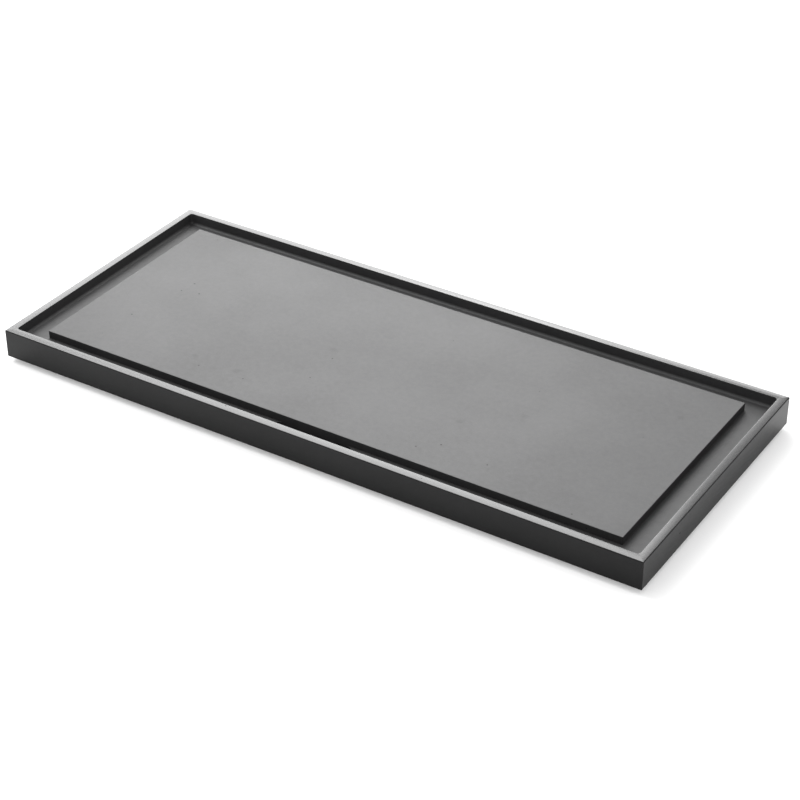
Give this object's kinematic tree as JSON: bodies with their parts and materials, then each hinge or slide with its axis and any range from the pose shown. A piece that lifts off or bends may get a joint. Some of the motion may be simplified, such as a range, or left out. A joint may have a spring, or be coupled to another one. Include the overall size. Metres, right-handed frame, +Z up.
{
  "type": "gongfu tea tray",
  "caption": "Long dark stone tea tray with a deck inside a drainage moat, a lift-out slotted strainer over a sump, a bottom drain with a barbed hose elbow, and rubber feet.",
  "frame": {"origin": "centre of the tray's footprint, on the table under the feet", "axes": "+X along the tray's length, to the right as the host sees it; +Y away from the host, from the drain side to the side where the hose leaves; +Z up"},
  "size_m": [0.7, 0.3, 0.036],
  "materials": {
    "stone": "honed",
    "rubber": "matte",
    "brass": "turned",
    "gasket": "matte silicone",
    "steel": "brushed"
  },
  "bodies": {
    "tray": {"stone_tray": "stone", "foot_front_left": "rubber", "foot_front_right": "rubber", "foot_mid_left": "rubber", "foot_mid_right": "rubber", "foot_back_left": "rubber", "foot_back_right": "rubber", "drain_tail": "brass", "drain_elbow": "brass", "upper_gasket": "gasket", "lower_gasket": "gasket"},
    "strainer": {"drain_strainer": "steel", "strainer_knob": "steel"}
  },
  "joints": [
    {"name": "strainer_lift", "type": "slide", "parent": "tray", "child": "strainer", "axis": [0, 0, 1], "range_m": [0, 0.05]}
  ]
}
